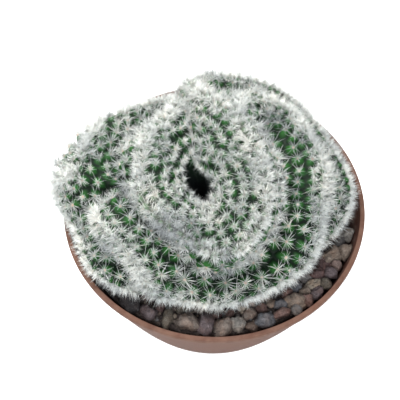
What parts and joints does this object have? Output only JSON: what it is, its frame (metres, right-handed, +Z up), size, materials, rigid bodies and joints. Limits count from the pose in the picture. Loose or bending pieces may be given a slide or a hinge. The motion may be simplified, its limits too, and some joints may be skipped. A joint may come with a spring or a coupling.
{
  "type": "potted crested pincushion cactus",
  "caption": "Crested pincushion cactus: a low dome of folded stem with white spines, standing in soil under gravel in a round tapered pot.",
  "frame": {"origin": "centre of the pot's foot, on the surface that it stands on", "axes": "+Z up, along the pot's axis. -Y is the side that faces the viewer, where the gravel is heaped, and the clump hangs over the rim at -X"},
  "size_m": [0.1113, 0.105, 0.088],
  "materials": {
    "pot_plastic": "matt terracotta-brown moulded plastic",
    "potting_soil": "dark loose potting soil, mostly peat and bark",
    "gravel_stone": "matt porous volcanic gravel, grey-tan to purple-brown",
    "cactus_flesh": "matt green skin on conical tubercles",
    "cactus_spines": "thin glassy white spines and white felt"
  },
  "bodies": {
    "root": {"pot": "pot_plastic", "soil": "potting_soil", "gravel": "gravel_stone", "crested_cactus": "cactus_flesh"}
  },
  "joints": []
}
